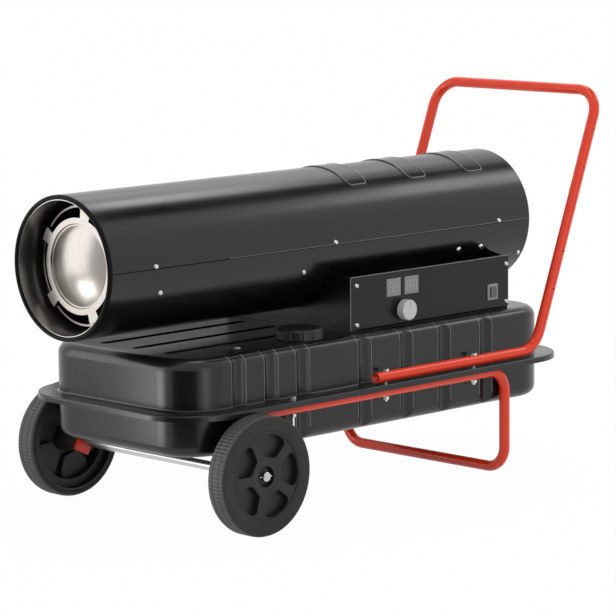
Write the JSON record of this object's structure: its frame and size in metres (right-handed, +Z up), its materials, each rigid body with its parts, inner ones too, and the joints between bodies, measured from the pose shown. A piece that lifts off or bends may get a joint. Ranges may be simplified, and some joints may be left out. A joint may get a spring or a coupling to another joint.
{
  "type": "forced air heater",
  "caption": "Wheeled diesel forced air heater: long barrel with burner and fan on a cradle over a ribbed fuel tank, tube handle, axle with wheels, side control panel",
  "frame": {"origin": "on the floor, under the middle of the whole heater's box", "axes": "+X towards the push handle, -X the hot air outlet, -Y the control panel side, +Z up"},
  "size_m": [1.128, 0.5194, 0.681],
  "materials": {
    "barrel_paint": "satin black powder coat",
    "tank_paint": "semi-gloss black paint",
    "cradle_paint": "satin black powder coat",
    "grille_paint": "satin black powder coat",
    "tube_paint": "gloss orange-red powder coat",
    "chamber_steel": "heat-resistant steel sheet, lightly heat tinted",
    "shield_steel": "bright steel sheet",
    "plated_steel": "zinc plated steel",
    "black_steel": "black oxide",
    "brass_nozzle": "machined brass",
    "ceramic": null,
    "fan_plastic": "pressed aluminium",
    "motor_paint": "dark grey enamel",
    "pump_metal": "cast aluminium",
    "board": "printed board",
    "black_plastic": "moulded black plastic",
    "rocker_plastic": "gloss black plastic",
    "knob_plastic": "silver-grey moulded plastic",
    "display": "grey display window",
    "cap_plastic": "moulded black plastic",
    "neck_steel": "black paint",
    "strainer_plastic": "white moulded plastic",
    "needle_paint": "red moulded plastic",
    "lens": "clear plastic lens",
    "gasket_rubber": "black rubber",
    "line_copper": null,
    "wheel_plastic": "moulded black plastic",
    "tyre_rubber": "solid rubber tyre"
  },
  "bodies": {
    "heater": {"upper_barrel_shell": "barrel_paint", "lower_barrel_shell": "barrel_paint", "seam_rivets": "barrel_paint", "upper_tank_shell": "tank_paint", "lower_tank_shell": "tank_paint", "support_cradle": "cradle_paint", "control_panel": "cradle_paint", "motor_bracket": "cradle_paint", "intake_grille": "grille_paint", "handle_tube": "tube_paint", "base_frame_tube": "tube_paint", "combustion_chamber": "chamber_steel", "flame_disc": "chamber_steel", "burner_tube": "chamber_steel", "swirl_plate": "chamber_steel", "chamber_standoffs": "chamber_steel", "heat_shield": "shield_steel", "seam_screws": "plated_steel", "shell_screws": "plated_steel", "panel_screws": "plated_steel", "frame_bolts": "plated_steel", "frame_nuts": "plated_steel", "axle": "plated_steel", "axle_washers": "plated_steel", "split_pins": "plated_steel", "drain_plug": "plated_steel", "motor_bolts": "black_steel", "fuel_nozzle": "brass_nozzle", "ignition_electrodes": "ceramic", "motor": "motor_paint", "air_pump": "pump_metal", "pump_cover": "pump_metal", "control_board": "board", "flame_sensor": "black_plastic", "potentiometer": "black_plastic", "switch_body": "black_plastic", "power_inlet_gland": "black_plastic", "ignition_transformer": "black_plastic", "display_windows": "display", "fuel_gauge": "cap_plastic", "filler_neck": "neck_steel", "fuel_strainer": "strainer_plastic", "gauge_lens": "lens", "frame_pads": "gasket_rubber", "fuel_line": "line_copper", "air_line": "line_copper", "fuel_pickup": "line_copper"},
    "fan_rotor": {"fan": "fan_plastic", "motor_shaft": "plated_steel"},
    "near_wheel": {"near_wheel_disc": "wheel_plastic", "near_tyre": "tyre_rubber"},
    "far_wheel": {"far_wheel_disc": "wheel_plastic", "far_tyre": "tyre_rubber"},
    "thermostat": {"thermostat_knob": "knob_plastic", "knob_spindle": "plated_steel"},
    "rocker": {"switch_rocker": "rocker_plastic"},
    "cap_seal": {"cap_gasket": "gasket_rubber"},
    "cap": {"fuel_cap": "cap_plastic"},
    "gauge_float": {"fuel_float": "strainer_plastic"},
    "gauge_dial": {"gauge_needle": "needle_paint"}
  },
  "joints": [
    {"name": "fan_spin", "type": "hinge", "parent": "heater", "child": "fan_rotor", "pos_m": [0.2, 0, 0.4405], "axis": [1, 0, 0], "continuous": true},
    {"name": "near_wheel_spin", "type": "hinge", "parent": "heater", "child": "near_wheel", "pos_m": [-0.35285, -0.2402, 0.1], "axis": [0, 1, 0], "continuous": true},
    {"name": "far_wheel_spin", "type": "hinge", "parent": "heater", "child": "far_wheel", "pos_m": [-0.35285, 0.2402, 0.1], "axis": [0, 1, 0], "continuous": true},
    {"name": "thermostat_turn", "type": "hinge", "parent": "heater", "child": "thermostat", "pos_m": [0.07925, -0.16, 0.318], "axis": [0, -1, 0], "range_deg": [-135, 135]},
    {"name": "rocker_tilt", "type": "hinge", "parent": "heater", "child": "rocker", "pos_m": [0.31005, -0.1534, 0.3235], "axis": [0, 0, 1], "range_deg": [-16, 0]},
    {"name": "cap_lift", "type": "slide", "parent": "heater", "child": "cap_seal", "axis": [0, 0, 1], "range_m": [0, 0.0101]},
    {"name": "cap_turn", "type": "hinge", "parent": "cap_seal", "child": "cap", "pos_m": [-0.15045, -0.131, 0.3], "axis": [0, 0, 1], "range_deg": [0, 720]},
    {"name": "float_rise", "type": "slide", "parent": "heater", "child": "gauge_float", "axis": [0, 0, 1], "range_m": [0, 0.115]},
    {"name": "dial_turn", "type": "hinge", "parent": "heater", "child": "gauge_dial", "pos_m": [-0.30545, -0.134, 0.292], "axis": [0, 0, 1], "range_deg": [0, 181]}
  ],
  "couplings": [
    {"joint": "cap_lift", "follows": "cap_turn", "m_per_rad": 0.00079577},
    {"joint": "dial_turn", "follows": "float_rise", "rad_per_m": 27.318}
  ]
}
